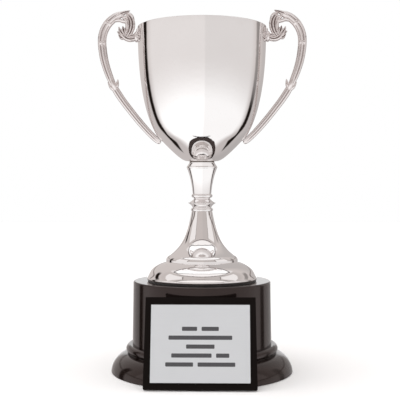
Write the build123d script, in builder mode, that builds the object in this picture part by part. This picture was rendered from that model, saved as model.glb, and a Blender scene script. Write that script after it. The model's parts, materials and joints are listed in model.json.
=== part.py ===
"""Two-handled cup trophy on a round weighted base, as an assembly of separate pieces.

Frame: origin at the centre of the underside, on the table, +Z up. The name plate faces -Y and the
handles lie along +X and -X. All sizes are in millimetres.
"""

import os
from math import cos, radians, sin

from build123d import *

# ---- heights above the table ----
felt_top = 1.4
cover_top = 3.2
plinth_bottom = 0.5
web_bottom = 12.0
web_top = 14.5
plinth_top = 21.7
drum_top = 71.6
foot_bottom = 72.2
foot_top = 87.1
trumpet_top = 129.6
knop_top = 137.2
vase_top = 165.8
bowl_seat = 166.4
rim_height = 272.8

# ---- base ----
plinth_radius = 72.2
bead_radius = 60.4
drum_top_radius = 54.8
drum_bottom_radius = 55.4
drum_wall = 2.6
drum_roof = 3.0
recess_radius = 66.2
cavity_radius = 60.0
spigot_radius = 52.2
spigot_bore = 48.0
weight_radius = 46.0
weight_thickness = 13.5
cover_radius = 66.0

# ---- clamping rod and its hardware ----
rod_radius = 3.0
rod_clearance = 3.3
rod_bottom = 4.0
washer_thickness = 1.2
lock_washer_thickness = 1.4
nut_flats = 10.0
nut_height = 5.0

# ---- foot and stem ----
foot_radius = 44.0
foot_step_radius = 30.2
foot_wall = 2.2
trumpet_radius = 28.8
vase_lip_radius = 12.4
knop_radius = 11.1

# ---- bowl ----
bowl_seat_radius = 10.6
bowl_radius = 51.5
bowl_wall = 1.0
rim_round = 0.35

# ---- handles ----
arm_half_width = 3.5
arm_half_depth = 3.2
tail_half_width = 2.8
scroll_half_width = 2.0
scroll_half_depth = 3.4
handle_reach = 79.9
handle_reach_height = 261.0
collar_point = (71.6, 228.8)
seat_radius = 4.4
seat_thickness = 2.6
lower_seat_share = 0.25
upper_seat_share = 0.952

# ---- handle screws ----
screw_radius = 1.5
screw_clearance = 1.7
screw_bite = 2.4
screw_head_radius = 2.8
screw_head_height = 1.8
screw_washer_radius = 3.5
screw_washer_thickness = 0.8
washer_seat = bowl_wall + 0.4

# ---- plates ----
plate_lean = 14.7
backer_bottom_width = 82.0
backer_top_width = 80.4
backer_height = 66.5
backer_thickness = 2.3
backer_bevel = 0.8
backer_foot = (0, -75.0, 1.0)
name_width = 71.8
name_height = 55.8
name_thickness = 0.8
name_centre_height = 33.0
tape_thickness = 0.15
engraving_depth = 0.25
line_pitch = 6.35
mark_height = 3.0
marks_centre_height = 30.8
word_gap = 3.2
line_words = [[11.0, 12.5], [46.0], [20.5], [29.0, 9.5], [20.0, 27.0]]


def plate_plane(height_above):
    """Plane parallel to the leaning plate's front face, that far in front of it."""
    lean = radians(plate_lean)
    outward = Vector(0, -cos(lean), sin(lean))
    return Plane(origin=Vector(*backer_foot) + outward * height_above, x_dir=(1, 0, 0), z_dir=outward)


def revolved(outline):
    """Solid of revolution about Z from a closed half outline given as (radius, height) points."""
    with BuildPart() as solid:
        with BuildSketch(Plane.XZ):
            with BuildLine():
                Polyline(*outline, close=True)
            make_face()
        revolve(axis=Axis.Z)
    return solid.part


def disc(bottom, top, radius, bore=0.0):
    """Flat ring or disc about Z."""
    with BuildPart() as solid:
        with BuildSketch(Plane.XY.offset(bottom)):
            Circle(radius)
            if bore:
                Circle(bore, mode=Mode.SUBTRACT)
        extrude(amount=top - bottom)
    return solid.part


def save(part, label):
    """Label a finished piece and write its STEP file."""
    part.label = label
    export_step(part, f"parts/{label}.step")


os.makedirs("parts", exist_ok=True)

# =====================================================================================
# Base
# =====================================================================================

with BuildPart() as base_drum:
    with BuildSketch(Plane.XZ):
        with BuildLine():
            foot = Line((drum_bottom_radius - drum_wall, plinth_top), (drum_bottom_radius, plinth_top))
            side = Line(foot @ 1, (drum_top_radius, drum_top - 1.2))
            round_middle = (drum_top_radius - 0.35, drum_top - 0.35)
            shoulder = ThreePointArc(side @ 1, round_middle, (drum_top_radius - 1.2, drum_top))
            Polyline(
                shoulder @ 1,
                (rod_clearance, drum_top),
                (rod_clearance, drum_top - drum_roof),
                (drum_top_radius - drum_wall, drum_top - drum_roof),
                foot @ 0,
            )
        make_face()
    revolve(axis=Axis.Z)
save(base_drum.part, "base_drum")

with BuildPart() as base_plinth:
    with BuildSketch(Plane.XZ):
        with BuildLine():
            bead = ThreePointArc((57.4, plinth_top), (bead_radius, 18.3), (58.4, 15.2))
            ledge = Polyline(bead @ 1, (58.4, 14.8), (59.8, 14.8))
            flare = ThreePointArc(ledge @ 1, (68.4, 9.7), (plinth_radius, plinth_bottom))
            Polyline(
                flare @ 1,
                (recess_radius, plinth_bottom),
                (recess_radius, cover_top),
                (cavity_radius, cover_top),
                (cavity_radius, 9.0),
                (cavity_radius - 4, web_bottom),
                (rod_clearance, web_bottom),
                (rod_clearance, web_top),
                (spigot_bore, web_top),
                (spigot_bore, plinth_top + 3),
                (spigot_radius - 0.6, plinth_top + 3),
                (spigot_radius, plinth_top + 2),
                (spigot_radius, plinth_top),
                bead @ 0,
            )
        make_face()
    revolve(axis=Axis.Z)
    with Locations(Plane.XY.offset(cover_top)):
        with PolarLocations(radius=63.2, count=4, start_angle=45):
            Cylinder(1.0, 5.0, align=(Align.CENTER, Align.CENTER, Align.MIN), mode=Mode.SUBTRACT)
save(base_plinth.part, "base_plinth")

base_weight = disc(web_top, web_top + weight_thickness, weight_radius, rod_clearance)
save(base_weight, "base_weight")

with BuildPart() as base_cover:
    with BuildSketch(Plane.XY.offset(felt_top)):
        Circle(cover_radius)
    extrude(amount=cover_top - felt_top)
    with Locations(Plane.XY.offset(felt_top).rotated((180, 0, 0))):
        with PolarLocations(radius=63.2, count=4, start_angle=45):
            CounterSinkHole(1.0, 2.0, depth=cover_top - felt_top)
save(base_cover.part, "base_cover")

with BuildPart() as cover_screws:
    with BuildSketch(Plane.XZ) as screw_half:
        with BuildLine():
            Polyline((0, 0), (2.0, 0), (1.0, 1.0), (1.0, 6.8), (0, 6.8), close=True)
        make_face()
    with PolarLocations(radius=63.2, count=4, start_angle=45):
        add(revolve(screw_half.sketch, axis=Axis.Z, mode=Mode.PRIVATE).moved(Location((0, 0, felt_top))))
save(cover_screws.part, "cover_screws")

base_felt = disc(0, felt_top, cover_radius)
save(base_felt, "base_felt")

# =====================================================================================
# Foot and stem
# =====================================================================================

foot_gasket = disc(drum_top, foot_bottom, foot_radius - 0.8, foot_radius - 6)
save(foot_gasket, "foot_gasket")

with BuildPart() as foot_dome:
    with BuildSketch(Plane.XZ):
        with BuildLine():
            toe = (foot_radius - 0.8, foot_bottom)
            lip = ThreePointArc(toe, (foot_radius, 73.3), (foot_radius - 0.4, 74.7))
            dome = Spline(
                lip @ 1,
                (42.6, 76.4),
                (41.7, 78.3),
                (40.6, 80.2),
                (38.8, 82.3),
                (35.2, 85.0),
                (foot_step_radius, foot_top),
            )
            roof = Polyline(
                dome @ 1,
                (rod_clearance, foot_top),
                (rod_clearance, foot_top - foot_wall),
                (29.5, 84.5),
            )
            hollow = Spline(roof @ 1, (35.4, 80.6), (40.4, 74.4), tangents=((1, -0.3), (0.2, -1)))
            Polyline(hollow @ 1, (40.4, foot_bottom), lip @ 0)
        make_face()
    revolve(axis=Axis.Z)
save(foot_dome.part, "foot_dome")

with BuildPart() as stem_trumpet:
    with BuildSketch(Plane.XZ):
        with BuildLine():
            edge = Line((trumpet_radius, foot_top), (trumpet_radius, foot_top + 1.4))
            shoulder = ThreePointArc(edge @ 1, (28.0, 90.4), (25.8, 92.3))
            flare = Spline(
                shoulder @ 1,
                (21.0, 96.2),
                (17.0, 100.8),
                (12.4, 110.4),
                (9.7, 120.0),
                (8.3, 126.9),
            )
            collar = ThreePointArc(flare @ 1, (8.9, 128.1), (8.3, 129.3))
            bore = Polyline(
                collar @ 1,
                (8.3, trumpet_top),
                (rod_clearance, trumpet_top),
                (rod_clearance, 114),
                (6.5, 114),
            )
            core = Spline(
                bore @ 1,
                (10.4, 108.0),
                (15.6, 99.0),
                (26.6, 89.0),
                tangents=((0.3, -1), (0.9, -0.5)),
            )
            Polyline(core @ 1, (26.6, foot_top), edge @ 0)
        make_face()
    revolve(axis=Axis.Z)
save(stem_trumpet.part, "stem_trumpet")

with BuildPart() as stem_knop:
    with BuildSketch(Plane.XZ):
        with BuildLine():
            neck = Line((7.5, trumpet_top), (7.5, 130.0))
            under = ThreePointArc(neck @ 1, (8.9, 131.8), (knop_radius - 0.2, 133.2))
            brim = ThreePointArc(under @ 1, (knop_radius, 133.5), (knop_radius - 0.2, 133.8))
            crown = ThreePointArc(brim @ 1, (8.4, 135.1), (6.5, 136.9))
            Polyline(
                crown @ 1,
                (6.5, knop_top),
                (rod_clearance, knop_top),
                (rod_clearance, trumpet_top),
                neck @ 0,
            )
        make_face()
    revolve(axis=Axis.Z)
save(stem_knop.part, "stem_knop")

with BuildPart() as stem_vase:
    with BuildSketch(Plane.XZ):
        with BuildLine():
            neck = Line((6.8, knop_top), (6.8, 137.6))
            collar = ThreePointArc(neck @ 1, (8.5, 139.2), (7.5, 140.7))
            body = Spline(
                collar @ 1,
                (8.0, 145.4),
                (8.9, 150.8),
                (10.4, 156.4),
                (12.0, 160.9),
            )
            lip = ThreePointArc(body @ 1, (vase_lip_radius, 162.0), (12.0, 162.9))
            shoulder = Line(lip @ 1, (10.3, 165.3))
            Polyline(
                shoulder @ 1,
                (10.3, vase_top),
                (7.5, vase_top),
                (7.5, vase_top - 14),
                (rod_clearance, vase_top - 18),
                (rod_clearance, knop_top),
                neck @ 0,
            )
        make_face()
    revolve(axis=Axis.Z)
save(stem_vase.part, "stem_vase")

bowl_gasket = disc(vase_top, bowl_seat, 9.9, 7.5)
save(bowl_gasket, "bowl_gasket")

# =====================================================================================
# Bowl
# =====================================================================================

with BuildPart() as bowl_envelope:
    with BuildSketch(Plane.XZ):
        with BuildLine():
            floor = Line((0, bowl_seat), (bowl_seat_radius, bowl_seat))
            wall = Spline(
                floor @ 1,
                (14.6, 167.4),
                (19.0, 170.2),
                (25.2, 175.6),
                (30.6, 180.9),
                (35.6, 186.6),
                (42.5, 200.5),
                (48.2, 224.0),
                (50.9, 250.0),
                (bowl_radius, rim_height),
            )
            Polyline(wall @ 1, (0, rim_height), floor @ 0)
        make_face()
    revolve(axis=Axis.Z)


def wall_normal(share):
    """Outward normal of the bowl's outer wall, that share of the way up it, as (radius, height)."""
    tangent = wall % share
    return Vector(tangent.Y, -tangent.X)


def seat_plane(share, side):
    """Plane on the outer wall, that share of the way up it, facing outwards at +X or -X."""
    point = wall @ share
    outward = wall_normal(share)
    return Plane(origin=(side * point.X, 0, point.Y), x_dir=(0, 1, 0), z_dir=(side * outward.X, 0, outward.Y))


seats = [seat_plane(share, side) for side in (1, -1) for share in (lower_seat_share, upper_seat_share)]

bowl_floor = bowl_seat + bowl_wall
inner_wall = [wall @ (step / 8) - wall_normal(step / 8) * bowl_wall for step in range(1, 8)]

with BuildPart() as bowl_hollow:
    with BuildSketch(Plane.XZ):
        with BuildLine():
            floor = Line((0, bowl_floor), (bowl_seat_radius - 0.2, bowl_floor))
            inside = Spline(floor @ 1, *inner_wall, (bowl_radius - bowl_wall, rim_height))
            Polyline(inside @ 1, (0, rim_height), floor @ 0)
        make_face()
    revolve(axis=Axis.Z)

with BuildPart() as bowl:
    add(bowl_envelope.part)
    add(bowl_hollow.part, mode=Mode.SUBTRACT)
    fillet(bowl.edges().group_by(Axis.Z)[-1], rim_round)
    with Locations((0, 0, bowl_seat)):
        Cylinder(rod_clearance, 4 * bowl_wall, mode=Mode.SUBTRACT)
    for seat in seats:
        with BuildSketch(seat):
            Circle(screw_clearance)
        extrude(amount=2 * bowl_wall, both=True, mode=Mode.SUBTRACT)
save(bowl.part, "bowl")

with BuildPart() as handle_washers:
    for seat in seats:
        with BuildSketch(seat.offset(-washer_seat)):
            Circle(screw_washer_radius)
            Circle(screw_clearance, mode=Mode.SUBTRACT)
        extrude(amount=-screw_washer_thickness)
save(handle_washers.part, "handle_washers")

with BuildPart() as handle_screws:
    for seat in seats:
        head_plane = seat.offset(-washer_seat - screw_washer_thickness)
        with BuildSketch(head_plane):
            Circle(screw_radius)
        extrude(amount=screw_washer_thickness + washer_seat + screw_bite)
        with BuildSketch(head_plane):
            Circle(screw_head_radius)
        extrude(amount=-screw_head_height, taper=12)
        with BuildSketch(head_plane.offset(-screw_head_height)):
            Rectangle(3.6, 0.8)
        extrude(amount=0.9, mode=Mode.SUBTRACT)
save(handle_screws.part, "handle_screws")

# =====================================================================================
# Clamping rod and nuts
# =====================================================================================

bowl_washer = disc(bowl_floor, bowl_floor + washer_thickness, 8.0, rod_radius)
save(bowl_washer, "bowl_washer")

nut_seat = bowl_floor + washer_thickness
rod_top = nut_seat + 6.5

centre_rod = disc(rod_bottom, rod_top, rod_radius)
save(centre_rod, "centre_rod")

with BuildPart() as bowl_nut:
    with BuildSketch(Plane.XY.offset(nut_seat)):
        RegularPolygon(nut_flats / 2, 6, major_radius=False)
    extrude(amount=nut_height)
    with Locations((0, 0, nut_seat + nut_height)):
        Sphere(nut_flats / 2 - 0.3, arc_size1=0, align=(Align.CENTER, Align.CENTER, Align.MIN))
    with BuildSketch(Plane.XY.offset(nut_seat)):
        Circle(rod_radius)
    extrude(amount=rod_top - nut_seat, mode=Mode.SUBTRACT)
save(bowl_nut.part, "bowl_nut")

base_washer = disc(web_bottom - washer_thickness, web_bottom, 12.0, rod_radius)
save(base_washer, "base_washer")

lock_washer_top = web_bottom - washer_thickness
with BuildPart() as base_lock_washer:
    with BuildSketch(Plane.XY.offset(lock_washer_top - lock_washer_thickness)):
        Circle(5.4)
        Circle(rod_radius, mode=Mode.SUBTRACT)
        with Locations((4.5, 0)):
            Rectangle(5.0, 0.8, mode=Mode.SUBTRACT)
    extrude(amount=lock_washer_thickness)
save(base_lock_washer.part, "base_lock_washer")

with BuildPart() as base_nut:
    with BuildSketch(Plane.XY.offset(lock_washer_top - lock_washer_thickness - nut_height)):
        RegularPolygon(nut_flats / 2, 6, major_radius=False)
        Circle(rod_radius, mode=Mode.SUBTRACT)
    extrude(amount=nut_height)
    chamfer(base_nut.edges().filter_by(Axis.Z).filter_by(GeomType.LINE), 0.3)
save(base_nut.part, "base_nut")

# =====================================================================================
# Handles: one casting each, in the XZ plane, the left one a mirror image
# =====================================================================================


def strand(path, half_width, half_depth):
    """Bar of elliptical section swept along a planar path; half_depth is its size along Y."""
    start = Plane(origin=path @ 0, x_dir=(0, 1, 0), z_dir=path % 0)
    with BuildSketch(start) as section:
        Ellipse(half_depth, half_width)
    return sweep(section.sketch, path=path, mode=Mode.PRIVATE)


with BuildLine(Plane.XZ) as arm_path:
    shoulder = TangentArc((handle_reach, handle_reach_height), (69.5, 281.2), tangent=(0, 1))
    TangentArc(shoulder @ 1, (61.6, 283.8), tangent=shoulder % 1)
with BuildLine(Plane.XZ) as flank_path:
    TangentArc((handle_reach, handle_reach_height), collar_point, tangent=(0, -1))
with BuildLine(Plane.XZ) as tail_path:
    tail = ThreePointArc(collar_point, (61.4, 212.3), (49.3, 196.8))
    TangentArc(tail @ 1, (35.0, 182.2), tangent=tail % 1)
with BuildLine(Plane.XZ) as scroll_path:
    bow = ThreePointArc((61.2, 284.4), (55.4, 277.6), (58.6, 269.6))
    TangentArc(bow @ 1, (62.4, 265.2), tangent=bow % 1)
with BuildLine(Plane.XZ) as bracket_path:
    ThreePointArc((50.0, 267.2), (57.2, 263.2), (66.2, 271.0))

with BuildPart() as handle_right:
    add(strand(arm_path.line, arm_half_width, arm_half_depth))
    add(strand(flank_path.line, arm_half_width, arm_half_depth))
    add(strand(tail_path.line, tail_half_width, tail_half_width))
    add(strand(scroll_path.line, scroll_half_width, scroll_half_depth))
    add(strand(bracket_path.line, scroll_half_width, scroll_half_depth))
    with Locations((collar_point[0], 0, collar_point[1])):
        Sphere(4.2)
    with Locations((61.9, 0, 279.4)):
        Cylinder(2.6, 6.4, rotation=(90, 0, 0))
    with Locations((67.0, 0, 271.0)):
        Sphere(2.6)
    with BuildSketch(Plane(origin=(63.0, 0, 284.2), x_dir=(0, 1, 0), z_dir=(-5.4, 0, 3.4))):
        Ellipse(2.6, 1.7)
    extrude(amount=6.2, taper=12)
    for seat in seats[:2]:
        with BuildSketch(seat.offset(-2)):
            Circle(seat_radius)
        extrude(amount=seat_thickness + 2)
    add(bowl_envelope.part, mode=Mode.SUBTRACT)
    for seat in seats[:2]:
        with BuildSketch(seat.offset(-bowl_wall)):
            Circle(screw_radius)
        extrude(amount=bowl_wall + screw_bite, mode=Mode.SUBTRACT)
save(handle_right.part, "handle_right")

with BuildPart() as handle_left:
    mirror(handle_right.part, about=Plane.YZ)
save(handle_left.part, "handle_left")

# =====================================================================================
# Leaning plates
# =====================================================================================

with BuildPart() as plate_backer:
    with BuildSketch(plate_plane(0)):
        with BuildLine():
            Polyline(
                (-backer_bottom_width / 2, 0),
                (backer_bottom_width / 2, 0),
                (backer_top_width / 2, backer_height),
                (-backer_top_width / 2, backer_height),
                close=True,
            )
        make_face()
    extrude(amount=-backer_thickness)
    front_edges = plate_backer.faces().sort_by(Axis.Y)[0].edges()
    chamfer(front_edges, backer_bevel)
save(plate_backer.part, "plate_backer")

drum_envelope = revolved(
    [
        (0, plinth_top),
        (drum_bottom_radius, plinth_top),
        (drum_top_radius, drum_top - 1.2),
        (0, drum_top - 1.2),
    ]
)
with BuildPart() as backer_pads:
    with BuildSketch(plate_plane(-backer_thickness)):
        with Locations((0, 58)):
            Rectangle(26, 11)
        with Locations((0, 9.5)):
            Rectangle(26, 8)
    extrude(amount=-5.0)
    add(drum_envelope, mode=Mode.SUBTRACT)
    with BuildSketch(Plane.XZ):
        with BuildLine():
            pad_side = ThreePointArc((59.8, 14.8), (68.4, 9.7), (plinth_radius, plinth_bottom))
            Polyline(pad_side @ 1, (40, plinth_bottom), (40, 14.8), pad_side @ 0)
        make_face()
    revolve(axis=Axis.Z, mode=Mode.SUBTRACT)
save(backer_pads.part, "backer_pads")

with BuildPart() as name_plate_tape:
    with BuildSketch(plate_plane(0)):
        with Locations((0, name_centre_height)):
            Rectangle(name_width - 1.6, name_height - 1.6)
    extrude(amount=tape_thickness)
save(name_plate_tape.part, "name_plate_tape")

name_back = plate_plane(tape_thickness)
name_front = plate_plane(tape_thickness + name_thickness)

with BuildSketch(name_front) as marks:
    for row, words in enumerate(line_words):
        row_height = marks_centre_height + (2 - row) * line_pitch
        row_width = sum(words) + word_gap * (len(words) - 1)
        left = -row_width / 2
        for word in words:
            with Locations((left + word / 2, row_height)):
                RectangleRounded(word, mark_height, 0.6)
            left += word + word_gap

with BuildPart() as name_plate:
    with BuildSketch(name_back):
        with Locations((0, name_centre_height)):
            Rectangle(name_width, name_height)
    extrude(amount=name_thickness)
    chamfer(name_plate.faces().sort_by(Axis.Y)[0].edges(), 0.2)
    extrude(marks.sketch, amount=-engraving_depth, mode=Mode.SUBTRACT)
save(name_plate.part, "name_plate")

with BuildPart() as name_plate_engraving:
    extrude(marks.sketch, amount=-engraving_depth)
save(name_plate_engraving.part, "name_plate_engraving")
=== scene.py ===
"""Looks of a two-handled cup trophy: finishes for every piece, modelled handle castings, and a studio.

Lengths are in metres in the trophy's own frame: +Z up, name plate towards -Y, handles along X.
Handle routes are written in millimetres, for the right-hand casting, and scaled by MM.
"""

import json
from math import cos, pi, radians, sin

import bpy
import numpy as np
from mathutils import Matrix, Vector


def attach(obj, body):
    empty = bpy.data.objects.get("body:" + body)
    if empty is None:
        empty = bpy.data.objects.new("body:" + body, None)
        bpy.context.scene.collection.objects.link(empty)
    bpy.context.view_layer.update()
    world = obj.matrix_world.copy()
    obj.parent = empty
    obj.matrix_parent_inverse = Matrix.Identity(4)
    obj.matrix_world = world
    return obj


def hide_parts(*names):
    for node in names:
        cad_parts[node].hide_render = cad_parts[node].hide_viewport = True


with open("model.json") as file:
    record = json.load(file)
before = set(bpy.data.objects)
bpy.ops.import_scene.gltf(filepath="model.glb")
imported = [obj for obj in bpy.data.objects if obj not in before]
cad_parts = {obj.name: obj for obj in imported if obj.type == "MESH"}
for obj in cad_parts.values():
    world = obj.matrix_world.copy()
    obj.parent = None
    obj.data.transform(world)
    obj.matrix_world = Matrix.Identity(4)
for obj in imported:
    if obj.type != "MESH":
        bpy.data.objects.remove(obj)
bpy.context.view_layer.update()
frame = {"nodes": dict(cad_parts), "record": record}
parts = frame["nodes"]
MM = 0.001


# =====================================================================================
# Shader maths
# =====================================================================================


class Signal:
    """A shader socket that can be used in arithmetic; each operator adds one Math node."""

    def __init__(self, tree, socket):
        self.tree = tree
        self.socket = socket

    def _math(self, operation, *terms):
        node = self.tree.nodes.new("ShaderNodeMath")
        node.operation = operation
        for slot, term in zip(node.inputs, terms):
            plug(self.tree, slot, term)
        return Signal(self.tree, node.outputs[0])

    def __add__(self, other):
        return self._math("ADD", self, other)

    __radd__ = __add__

    def __sub__(self, other):
        return self._math("SUBTRACT", self, other)

    def __rsub__(self, other):
        return self._math("SUBTRACT", other, self)

    def __mul__(self, other):
        return self._math("MULTIPLY", self, other)

    __rmul__ = __mul__

    def __truediv__(self, other):
        return self._math("DIVIDE", self, other)

    def __abs__(self):
        return self._math("ABSOLUTE", self)


def plug(tree, slot, value):
    """Link a signal to a socket, or set the socket's own value."""
    if isinstance(value, Signal):
        tree.links.new(value.socket, slot)
    else:
        slot.default_value = value


class Graph:
    """A node tree with one way to add any node."""

    def __init__(self, tree):
        self.tree = tree
        tree.nodes.clear()

    def add(self, kind, settings=None, sockets=None, out=0):
        """New node of a kind: settings first, then socket values or links, by name or number."""
        node = self.tree.nodes.new(kind)
        for name, value in (settings or {}).items():
            setattr(node, name, value)
        for name, value in (sockets or {}).items():
            plug(self.tree, node.inputs[name], value)
        return Signal(self.tree, node.outputs[out]) if node.outputs else None

    def place(self):
        """Position on the piece, in the trophy's frame."""
        return self.add("ShaderNodeTexCoord", out="Object")

    def noise(self, size, detail=2.0, stretch=(1, 1, 1), roughness=0.5):
        """Noise from 0 to 1 whose features are about `size` metres across."""
        where = self.add(
            "ShaderNodeVectorMath", {"operation": "MULTIPLY"}, {0: self.place(), 1: stretch}
        )
        sockets = {"Vector": where, "Scale": 1.0 / size, "Detail": detail, "Roughness": roughness}
        return self.add("ShaderNodeTexNoise", {}, sockets, out="Fac")

    def between(self, low, high, signal):
        """Smooth step of a signal from 0 at `low` to 1 at `high`."""
        sockets = {"Value": signal, "From Min": low, "From Max": high}
        return self.add("ShaderNodeMapRange", {"interpolation_type": "SMOOTHSTEP"}, sockets)

    def blend(self, share, first, second):
        """Colour between two colours."""
        sockets = {0: share, 6: first, 7: second}
        return self.add("ShaderNodeMix", {"data_type": "RGBA"}, sockets, out=2)

    def bump(self, height, depth):
        """Normal from a height signal whose full range is `depth` metres."""
        return self.add("ShaderNodeBump", {}, {"Height": height, "Distance": depth, "Strength": 1.0})


def finish(name, recipe):
    """Material from a function that takes a graph and returns the Principled sockets to set."""
    material = bpy.data.materials.new(name)
    material.use_nodes = True
    graph = Graph(material.node_tree)
    shader = graph.add("ShaderNodeBsdfPrincipled", {}, recipe(graph))
    graph.add("ShaderNodeOutputMaterial", {}, {"Surface": shader})
    return material


def rgb(red, green, blue):
    return (red, green, blue, 1.0)


# =====================================================================================
# Finishes
# =====================================================================================


def mirror_plate(g):
    """Polished nickel plate on spun metal: faint polishing haze and a slight waviness."""
    haze = g.noise(0.018, detail=4.0)
    rings = g.noise(0.0011, detail=1.0, stretch=(0.02, 0.02, 1))
    wave = g.noise(0.03, detail=1.0)
    tint = g.blend(haze, rgb(0.86, 0.835, 0.83), rgb(0.9, 0.88, 0.875))
    return {
        "Base Color": tint,
        "Metallic": 1.0,
        "Roughness": 0.025 + 0.03 * g.between(0.45, 0.75, haze) + 0.01 * rings,
        "Normal": g.bump(wave + 0.02 * rings, 0.00004),
    }


def cast_plate(g):
    """The same plate over a casting: softer, a little tarnished, with painted shade darkening the
    grooves.
    """
    grain = g.noise(0.0025, detail=2.0)
    cloud = g.noise(0.009, detail=2.0)
    recess = g.add("ShaderNodeAttribute", {"attribute_name": "recess"}, out="Fac")
    # painted shade: the grooves are darkened, more where they lie deeper, and made rougher
    groove_shade = g.between(0.2, 0.85, recess)
    bright = g.blend(cloud, rgb(0.74, 0.69, 0.68), rgb(0.84, 0.79, 0.78))
    return {
        "Base Color": g.blend(groove_shade, bright, rgb(0.36, 0.3, 0.29)),
        "Metallic": 1.0,
        "Roughness": 0.13 + 0.06 * cloud + 0.2 * groove_shade,
        "Normal": g.bump(grain, 0.000012),
    }


def zinc(g):
    """Zinc-plated steel hardware with fine turning marks."""
    turned = g.noise(0.0006, detail=2.0, stretch=(1, 1, 3))
    spots = g.noise(0.004, detail=3.0)
    return {
        "Base Color": g.blend(spots, rgb(0.52, 0.53, 0.55), rgb(0.66, 0.65, 0.62)),
        "Metallic": 1.0,
        "Roughness": 0.24 + 0.2 * turned,
        "Normal": g.bump(turned, 0.00003),
    }


def black_moulding(g):
    """Glossy black moulding with a trace of orange peel and rubbed patches."""
    peel = g.noise(0.003, detail=1.0)
    rubbed = g.noise(0.035, detail=4.0)
    return {
        "Base Color": g.blend(rubbed, rgb(0.009, 0.0058, 0.005), rgb(0.013, 0.009, 0.008)),
        "Roughness": 0.08 + 0.08 * g.between(0.4, 0.75, rubbed),
        "Specular Tint": rgb(1.0, 0.8, 0.77),
        "IOR": 1.5,
        "Normal": g.bump(peel, 0.000004),
    }


def black_backer(g):
    """Satin black coated plate, a little brushed along its width."""
    brushed = g.noise(0.0008, detail=2.0, stretch=(0.06, 1, 1))
    cloud = g.noise(0.02, detail=3.0)
    return {
        "Base Color": g.blend(cloud, rgb(0.0045, 0.003, 0.0025), rgb(0.0065, 0.0045, 0.004)),
        "Roughness": 0.36 + 0.1 * brushed + 0.06 * cloud,
        "Specular IOR Level": 0.06,
        "Normal": g.bump(brushed, 0.000006),
    }


def silver_sheet(g):
    """Satin silver engraving sheet, very finely brushed from side to side."""
    brushed = g.noise(0.0005, detail=3.0, stretch=(0.03, 1, 1))
    cloud = g.noise(0.025, detail=3.0)
    mottle = 0.5 * brushed + 0.5 * cloud
    return {
        "Base Color": g.blend(mottle, rgb(0.595, 0.615, 0.635), rgb(0.645, 0.665, 0.685)),
        "Metallic": 0.35,
        "Roughness": 0.42 + 0.1 * brushed,
        "Normal": g.bump(brushed, 0.000004),
    }


def black_fill(g):
    """Matt black fill in the engraving, slightly grainy."""
    grain = g.noise(0.0004, detail=2.0)
    return {
        "Base Color": g.blend(grain, rgb(0.035, 0.035, 0.04), rgb(0.09, 0.09, 0.095)),
        "Roughness": 0.6 + 0.2 * grain,
        "Normal": g.bump(grain, 0.00002),
    }


def felt(g):
    """Black felt: tangled fibres with a soft sheen."""
    fibres = g.noise(0.0007, detail=6.0, roughness=0.7)
    return {
        "Base Color": g.blend(fibres, rgb(0.012, 0.012, 0.013), rgb(0.05, 0.05, 0.05)),
        "Roughness": 0.85 + 0.1 * fibres,
        "Sheen Weight": 0.4,
        "Normal": g.bump(fibres, 0.0003),
    }


def fibre_sheet(g):
    """Dark vulcanised fibre with a mottled surface."""
    mottle = g.noise(0.0018, detail=4.0)
    return {
        "Base Color": g.blend(mottle, rgb(0.05, 0.03, 0.02), rgb(0.16, 0.1, 0.07)),
        "Roughness": 0.55 + 0.2 * mottle,
        "Normal": g.bump(mottle, 0.00005),
    }


def raw_iron(g):
    """Sand-cast iron: coarse grain and a few rust blooms."""
    grain = g.noise(0.0015, detail=5.0, roughness=0.65)
    rust = g.between(0.58, 0.72, g.noise(0.012, detail=4.0))
    return {
        "Base Color": g.blend(rust, rgb(0.09, 0.09, 0.095), rgb(0.2, 0.09, 0.045)),
        "Metallic": 0.7 - 0.6 * rust,
        "Roughness": 0.5 + 0.25 * grain,
        "Normal": g.bump(grain, 0.0004),
    }


def hardboard(g):
    """Brown hardboard with short pressed fibres."""
    fibres = g.noise(0.0012, detail=5.0, stretch=(1, 0.3, 1))
    patch = g.noise(0.02, detail=2.0)
    mottle = 0.7 * fibres + 0.3 * patch
    return {
        "Base Color": g.blend(mottle, rgb(0.16, 0.09, 0.045), rgb(0.36, 0.24, 0.14)),
        "Roughness": 0.7 + 0.15 * fibres,
        "Normal": g.bump(fibres, 0.0001),
    }


def foam(g):
    """Closed-cell black foam with fine pores."""
    cells = g.add("ShaderNodeTexVoronoi", {}, {"Vector": g.place(), "Scale": 1800.0}, out="Distance")
    return {
        "Base Color": g.blend(cells, rgb(0.01, 0.01, 0.011), rgb(0.045, 0.045, 0.047)),
        "Roughness": 0.8 + 0.15 * cells,
        "Normal": g.bump(cells, 0.00015),
    }


def film(g):
    """Clear adhesive film, slightly milky, with trapped specks."""
    milk = g.noise(0.003, detail=3.0)
    return {
        "Base Color": g.blend(milk, rgb(0.5, 0.5, 0.47), rgb(0.68, 0.68, 0.64)),
        "Roughness": 0.3 + 0.2 * milk,
        "Normal": g.bump(milk, 0.00001),
    }


finishes = {
    "polished_metal": finish("nickel_mirror", mirror_plate),
    "cast_metal": finish("nickel_casting", cast_plate),
    "zinc_steel": finish("zinc_plated", zinc),
    "black_gloss": finish("black_moulding", black_moulding),
    "black_plate": finish("satin_black_plate", black_backer),
    "silver_plate": finish("satin_silver_sheet", silver_sheet),
    "engraving_fill": finish("engraving_black", black_fill),
    "felt": finish("black_felt", felt),
    "fibre": finish("dark_fibre", fibre_sheet),
    "cast_iron": finish("raw_cast_iron", raw_iron),
    "board": finish("brown_hardboard", hardboard),
    "foam": finish("black_foam", foam),
    "tape": finish("adhesive_film", film),
}

for entry in frame["record"]["subparts"]:
    mesh = parts[entry["node"]].data
    mesh.materials.clear()
    mesh.materials.append(finishes[entry["material_slot"]])


# =====================================================================================
# Handle castings
# =====================================================================================

bowl_points = np.empty(len(parts["bowl"].data.vertices) * 3)
parts["bowl"].data.vertices.foreach_get("co", bowl_points)
bowl_points = bowl_points.reshape(-1, 3)


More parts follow.
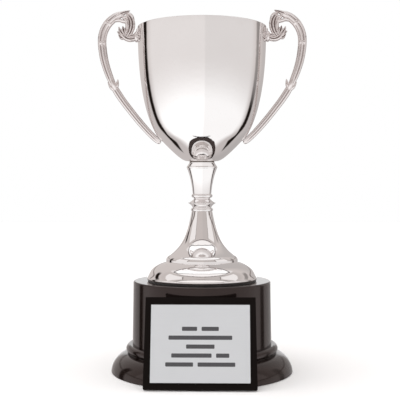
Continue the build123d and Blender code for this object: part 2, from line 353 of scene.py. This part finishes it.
def bowl_outline(step=0.4 * MM, dip=0.2 * MM):
    """Heights and outer radii of the bowl: the widest point of each thin slice of its own surface.

    Slices that fall more than `dip` short of a lower one hold only inner-wall points and are left out.
    """
    radii = np.hypot(bowl_points[:, 0], bowl_points[:, 1])
    slices = np.round(bowl_points[:, 2] / step).astype(int)
    levels = np.unique(slices)
    outer = np.array([radii[slices == level].max() for level in levels])
    keep = [k for k in range(len(levels)) if outer[k] >= outer[: k + 1].max() - dip]
    return levels[keep] * step, outer[keep]


outline_heights, outline_radii = bowl_outline()


def smooth_route(knots, steps):
    """Catmull-Rom curve through rows of numbers, one row per knot."""
    rows = np.array(knots, float)
    rows = np.vstack([2 * rows[0] - rows[1], rows, 2 * rows[-1] - rows[-2]])
    curve = []
    for k in range(1, len(rows) - 2):
        before, here, there, after = rows[k - 1 : k + 3]
        for t in np.linspace(0, 1, steps, endpoint=False):
            bend = 2 * before - 5 * here + 4 * there - after
            twist = 3 * here - before - 3 * there + after
            curve.append(0.5 * (2 * here + (there - before) * t + bend * t**2 + twist * t**3))
    curve.append(rows[-2])
    return np.array(curve)


class Casting:
    """One handle built from tapered strands, with a mark of how deep each point lies in a groove."""

    around = 56  # points round a strand
    squareness = 0.85  # below 1, a strand's section is a little squarer than an ellipse
    gap_share = 0.016  # half length of a filled gap in the grooves, as a share of the strand
    end_fade = 9  # the grooves fade out over the first and last 1 / end_fade of the strand
    recess_gain = 2.2  # how fast a groove counts as deep

    def __init__(self):
        self.points = []
        self.faces = []
        self.recess = []

    def strand(self, knots, flute=(), depth=1.0, steps=10, gaps=()):
        """Tapered bar along knots (x, y, z, half width), in mm.

        flute lists grooves as (place across from -1 to 1, width, depth); depth is the bar's size
        along Y in half widths; gaps are shares of the length where the grooves are filled.
        """
        route = smooth_route(knots, steps)
        tangents = np.gradient(route[:, :3], axis=0)
        tangents /= np.linalg.norm(tangents, axis=1)[:, None]
        first = len(self.points)
        length = np.concatenate([[0], np.cumsum(np.linalg.norm(np.diff(route[:, :3], axis=0), axis=1))])
        for row, tangent, along in zip(route, tangents, length / length[-1]):
            across = np.cross(tangent, (0, 1, 0))
            across /= np.linalg.norm(across)
            through = np.cross(across, tangent)
            filled = max([0.0, *(np.exp(-(((along - gap) / self.gap_share) ** 4)) for gap in gaps)])
            ends = min(1.0, self.end_fade * along, self.end_fade * (1 - along))
            for k in range(self.around):
                turn = 2 * pi * k / self.around
                u = cos(turn)
                v = np.sign(sin(turn)) * abs(sin(turn)) ** self.squareness
                cut = sum(deep * np.exp(-(((u - place) / wide) ** 2)) for place, wide, deep in flute)
                cut *= (1 - filled) * ends
                offset = across * u + through * v * depth * (1 - cut)
                self.points.append(row[:3] + offset * row[3])
                self.recess.append(min(1.0, cut * self.recess_gain))
        self._skin(first, len(route))

    def _skin(self, first, rings):
        around = self.around
        for ring in range(rings - 1):
            low = first + ring * around
            for k in range(around):
                nxt = (k + 1) % around
                self.faces.append((low + k, low + nxt, low + around + nxt, low + around + k))
        last = first + (rings - 1) * around
        self.faces.append(tuple(range(first + around - 1, first - 1, -1)))
        self.faces.append(tuple(range(last, last + around)))

    def bead(self, centre, sizes):
        """Egg-shaped bead with half sizes along X, Y and Z, in mm."""
        rings = 14
        pole = 0.06  # angle left open at each pole, closed by a flat cap
        first = len(self.points)
        for ring in range(rings + 1):
            tilt = pole + (pi - 2 * pole) * ring / rings
            for k in range(self.around):
                turn = 2 * pi * k / self.around
                shape = (sin(tilt) * cos(turn), sin(tilt) * sin(turn), cos(tilt))
                self.points.append(np.array(centre) + np.array(sizes) * shape)
                self.recess.append(0.0)
        self._skin(first, rings + 1)

    def clear_bowl(self):
        """Points in mm to metres, with whatever would enter the bowl pushed out onto its wall."""
        points = np.array(self.points) * MM
        radii = np.hypot(points[:, 0], points[:, 1])
        skin_gap = 0.02 * MM
        wall = np.interp(points[:, 2], outline_heights, outline_radii) + skin_gap
        inside = (radii < wall) & (points[:, 2] > outline_heights[0])
        points[inside, :2] *= (wall[inside] / radii[inside])[:, None]
        return points

    def piece(self, name, side):
        """Mesh object on the +X side, or mirrored to the -X side."""
        points = self.clear_bowl() * (side, 1, 1)
        faces = self.faces if side < 0 else [face[::-1] for face in self.faces]
        mesh = bpy.data.meshes.new(name)
        mesh.from_pydata(points.tolist(), [], faces)
        mesh.attributes.new("recess", "FLOAT", "POINT").data.foreach_set("value", self.recess)
        mesh.shade_smooth()
        mesh.materials.append(finishes["cast_metal"])
        piece = bpy.data.objects.new(name, mesh)
        bpy.context.scene.collection.objects.link(piece)
        return piece


def flat(*knots):
    """Knots (x, z, half width) in the handle's middle plane as (x, y, z, half width)."""
    return [(x, 0.0, z, half) for x, z, half in knots]


TWO_FLUTES = ((0.3, 0.15, 0.34), (-0.5, 0.13, 0.26))
TAIL_FLUTES = ((0.2, 0.13, 0.34), (-0.52, 0.12, 0.3))
SCROLL_FLUTES = ((0.42, 0.17, 0.5), (-0.32, 0.17, 0.5))


def handle_casting():
    """The right-hand handle: flank, tail, scrolls, leaves, calyx and seats."""
    cast = Casting()
    flank = flat(
        (62.4, 284.3, 1.6),
        (65.6, 283.7, 2.7),
        (70.0, 281.4, 3.3),
        (74.6, 277.4, 3.5),
        (77.9, 272.2, 3.5),
        (79.6, 266.6, 3.5),
        (79.9, 261.0, 3.45),
        (79.3, 254.4, 3.4),
        (78.1, 247.6, 3.3),
        (76.2, 240.8, 3.1),
        (73.9, 234.4, 2.9),
        (70.6, 226.8, 2.4),
    )
    cast.strand(flank, TWO_FLUTES, depth=0.92, steps=14, gaps=(0.22, 0.47))
    tail = flat(
        (71.8, 229.3, 2.3),
        (68.2, 222.6, 2.9),
        (63.6, 215.6, 2.85),
        (58.6, 209.0, 2.8),
        (53.4, 202.4, 2.75),
        (48.4, 196.4, 2.7),
        (43.2, 190.6, 2.6),
        (38.2, 185.6, 2.5),
        (34.8, 182.6, 2.1),
        (33.2, 181.4, 1.0),
    )
    cast.strand(tail, TAIL_FLUTES, depth=0.95, steps=12)
    scroll = flat(
        (60.8, 283.2, 1.2),
        (58.7, 282.2, 2.1),
        (57.1, 279.8, 2.7),
        (56.4, 276.8, 3.0),
        (56.6, 273.4, 3.0),
        (57.7, 270.0, 2.6),
        (59.6, 267.0, 2.1),
        (62.0, 265.2, 1.2),
    )
    cast.strand(scroll, SCROLL_FLUTES, depth=1.1)
    top_leaf = flat((66.6, 283.7, 1.3), (63.4, 284.9, 1.7), (60.4, 286.0, 1.2), (57.6, 287.2, 0.3))
    cast.strand(top_leaf, ((0.0, 0.3, 0.4),), depth=1.9)
    blade = flat((60.2, 285.0, 0.5), (57.8, 284.4, 1.1), (55.7, 282.2, 1.2), (54.2, 279.0, 0.4))
    cast.strand(blade, depth=2.6)
    bracket = flat(
        (51.2, 267.4, 2.2),
        (53.0, 265.4, 2.0),
        (55.6, 264.2, 1.9),
        (58.6, 264.2, 2.0),
        (61.4, 265.6, 2.1),
        (63.6, 268.2, 2.0),
        (65.4, 271.0, 1.5),
        (66.6, 274.2, 0.4),
    )
    cast.strand(bracket, ((0.1, 0.25, 0.45),), depth=1.5)
    inner_bracket = flat((52.0, 268.8, 1.0), (54.6, 267.4, 1.3), (57.6, 267.2, 1.4), (60.4, 269.2, 1.0))
    cast.strand(inner_bracket, ((0.0, 0.3, 0.4),), depth=1.8)
    volute = flat(
        (69.6, 279.0, 1.2),
        (66.4, 279.5, 1.4),
        (63.4, 278.6, 1.4),
        (60.9, 278.3, 1.3),
        (59.6, 280.2, 1.2),
        (60.9, 282.0, 1.1),
        (62.6, 281.0, 0.9),
        (61.9, 279.9, 0.5),
    )
    cast.strand(volute, depth=2.0)
    spine = flat(
        (63.4, 282.6, 1.2),
        (60.8, 279.6, 1.5),
        (59.8, 275.4, 1.5),
        (60.4, 271.0, 1.4),
        (62.0, 267.0, 1.2),
    )
    cast.strand(spine, depth=1.3)
    upper_leaves = (
        ((60.4, 268.6), (60.6, 274.8)),
        ((61.2, 268.0), (63.4, 274.8)),
        ((62.2, 267.6), (66.4, 273.0)),
    )
    for root, tip in upper_leaves:
        middle = ((root[0] + tip[0]) / 2 + 0.3, (root[1] + tip[1]) / 2)
        leaf = flat((*root, 1.4), (*middle, 1.7), (*tip, 0.35))
        cast.strand(leaf, ((0.0, 0.3, 0.6),), depth=1.7)
    for tip in ((67.8, 270.6), (66.8, 268.0)):
        leaf = flat((61.8, 266.4, 1.3), ((61.8 + tip[0]) / 2, tip[1] - 2.6, 1.5), (*tip, 0.35))
        cast.strand(leaf, ((0.0, 0.3, 0.5),), depth=1.7)
    outer_sepal = flat((69.4, 223.0, 1.2), (72.6, 225.8, 1.5), (75.4, 229.9, 0.35))
    inner_sepal = flat((69.2, 224.6, 1.3), (67.9, 228.0, 1.5), (67.3, 232.3, 0.35))
    for sepal in (outer_sepal, inner_sepal):
        cast.strand(sepal, depth=1.4)
    for y in (-1, 1):
        sepal = [(68.6, 1.6 * y, 223.8, 1.2), (70.6, 2.6 * y, 227.6, 1.5), (72.6, 3.3 * y, 232.0, 0.3)]
        cast.strand(sepal, depth=0.7)
    cast.bead((75.4, 0.0, 276.3), (1.3, 3.35, 1.3))
    cast.bead((79.9, 0.0, 259.5), (1.3, 3.35, 1.5))
    cast.bead((52.4, 0.0, 266.2), (2.2, 4.2, 4.4))
    cast.bead((51.6, 0.0, 270.6), (1.0, 2.4, 2.6))
    for y in (-1, 1):
        cast.bead((51.3, 4.2 * y, 266.4), (1.0, 2.6, 2.2))
    return cast


casting = handle_casting()
for name, side in (("handle_right", 1), ("handle_left", -1)):
    piece = casting.piece(name + "_casting", side)
    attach(piece, "root")
    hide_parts(name)


# =====================================================================================
# Studio
# =====================================================================================


def stage_mesh(name, corners, material):
    """A flat four-cornered piece of the studio, which isn't part of the trophy."""
    mesh = bpy.data.meshes.new(name)
    mesh.from_pydata(corners, [], [(0, 1, 2, 3)])
    mesh.materials.append(material)
    card = bpy.data.objects.new(name, mesh)
    bpy.context.scene.collection.objects.link(card)
    return card


def paper(g):
    """Plain pale backdrop paper."""
    return {"Base Color": rgb(0.93, 0.93, 0.93), "Roughness": 0.9, "Specular IOR Level": 0.1}


def studio_world():
    """Walls, windows and ceiling for the polished metal to reflect; plain white behind the trophy.

    Bearing is the angle round from the camera's side, positive to the right; lift is the angle up
    from level; both in degrees.
    """
    world = bpy.data.worlds.new("studio")
    bpy.context.scene.world = world
    world.use_nodes = True
    g = Graph(world.node_tree)
    way = g.add("ShaderNodeTexCoord", out="Generated")
    x, y, z = (g.add("ShaderNodeSeparateXYZ", {}, {0: way}, out=axis) for axis in "XYZ")
    bearing = g.add("ShaderNodeMath", {"operation": "ARCTAN2"}, {0: x, 1: 0 - y}) * (180 / pi)
    lift = g.add("ShaderNodeMath", {"operation": "ARCSINE"}, {0: z}) * (180 / pi)
    side = abs(bearing)

    def window(signal, low, high, soft=1.5):
        """1 between two angles, with soft edges."""
        rise = g.between(low - soft, low + soft, signal)
        return rise * (1 - g.between(high - soft, high + soft, signal))

    def larger(first, second):
        return g.add("ShaderNodeMath", {"operation": "MAXIMUM"}, {0: first, 1: second})

    white, pale, grey = rgb(1.2, 1.2, 1.2), rgb(0.86, 0.83, 0.82), rgb(0.62, 0.57, 0.55)
    shade, seam, cloth = rgb(0.3, 0.3, 0.3), rgb(0.16, 0.13, 0.12), rgb(0.012, 0.008, 0.006)

    # front: white from the table up to level, pale at level, grey above, a little darker on the right
    light = g.blend(g.between(-24, 2, lift), white, pale)
    light = g.blend(g.between(10, 16, lift), light, grey)
    light = g.blend(0.12 * g.between(4, 8, bearing), light, shade)

    # rear wall, with one white opening straight behind
    rear = g.blend(g.between(-4, 6, lift), rgb(0.6, 0.56, 0.55), rgb(0.68, 0.63, 0.61))
    rear = g.blend(0.35 * g.between(120, 150, bearing), rear, shade)
    rear = g.blend(g.between(160, 168, side) * window(lift, -9, 16, 3), rear, white)
    light = g.blend(g.between(97, 117, side), light, rear)

    # a softbox on each side and the dark edge of its frame
    light = g.blend(window(side, 50, 93) * window(lift, 16, 42), light, rgb(0.95, 0.92, 0.91))
    frame_edge = window(side, 47.5, 49.5, 0.5) * window(lift, 16, 44)
    light = g.blend(frame_edge, light, rgb(0.16, 0.14, 0.13))

    # an upright black flag on each side, set further back near the floor and fainter on the right
    flag = 119 + 9 * (1 - g.between(-43, -28, lift))
    flag_width = window(side - flag, -6, 5.5, 2.5)
    flag_height = g.between(-50, -47, lift) * (1 - g.between(24, 34, lift))
    fainter = 0.45 * window(bearing, 60, 180) * g.between(-12, 0, lift)
    light = g.blend(flag_width * flag_height * (1 - fainter), light, cloth)

    # high front: a dark seam, then the pale overhead and a greyer patch on each side
    light = g.blend(window(lift, 47.4, 49.0, 0.5) * window(side, -10, 72), light, rgb(0.12, 0.1, 0.1))
    overhead = window(lift, 50, 96) * (1 - g.between(72, 80, side))
    light = g.blend(overhead, light, rgb(1.05, 1.02, 1.01))
    light = g.blend(window(side, 66, 118) * window(lift, 50, 66), light, pale)

    # white ceiling panel with cut corners and a dark outline, sized for a ceiling one unit up
    panel_half_width, panel_half_depth, corner_cut, lowest = 0.73, 0.415, 1.3, 0.3
    height = larger(z, lowest)
    across = abs(x / height) / panel_half_width
    along = abs(y / height) / panel_half_depth
    reach = larger(larger(across, along), (across + along) / corner_cut)
    above = g.between(0.34, 0.4, z)
    light = g.blend(above * (1 - g.between(1.03, 1.09, reach)), light, rgb(0.14, 0.12, 0.115))
    light = g.blend(above * (1 - g.between(0.93, 0.98, reach)), light, white)

    # picture rail all round
    light = g.blend(window(lift, 13.6, 15.6, 0.8), light, seam)
    seen = g.add("ShaderNodeLightPath", out="Is Camera Ray")
    colour = g.blend(seen, light, rgb(1.0, 1.0, 1.0))
    sky = g.add("ShaderNodeBackground", {}, {"Color": colour, "Strength": 1.0})
    g.add("ShaderNodeOutputWorld", {}, {"Surface": sky})


studio_world()

floor_half = 3.0
floor_corners = [(floor_half * x, floor_half * y, 0) for x, y in ((-1, -1), (1, -1), (1, 1), (-1, 1))]
floor = stage_mesh("studio_floor", floor_corners, finish("studio_paper", paper))
floor.visible_glossy = False


def soft_light(name, place, target, spread, strength):
    """Sun lamp of wide spread, shining from a place towards a target; not seen in reflections."""
    data = bpy.data.lights.new(name, "SUN")
    data.angle = spread
    data.energy = strength
    light = bpy.data.objects.new(name, data)
    light.rotation_euler = (Vector(target) - Vector(place)).to_track_quat("-Z", "Y").to_euler()
    light.visible_glossy = False
    bpy.context.scene.collection.objects.link(light)


soft_light("overhead", (-0.35, -0.3, 1.0), (0, 0, 0), radians(100), 1.6)


# =====================================================================================
# Camera
# =====================================================================================

camera_distance = 0.664
camera_height = 0.143
camera_aside = 0.012
aim_down = 0.010843  # radians below level
aim_past_axis = 0.00241  # radians to the left of the trophy's axis

lens = bpy.data.cameras.new("camera")
lens.sensor_width = 36.0
lens.lens = 74.7
camera = bpy.data.objects.new("camera", lens)
camera.location = (camera_aside, -camera_distance, camera_height)
camera.rotation_euler = (pi / 2 - aim_down, 0, aim_past_axis + camera_aside / camera_distance)
bpy.context.scene.collection.objects.link(camera)
bpy.context.scene.camera = camera
bpy.context.scene.view_settings.view_transform = "Standard"
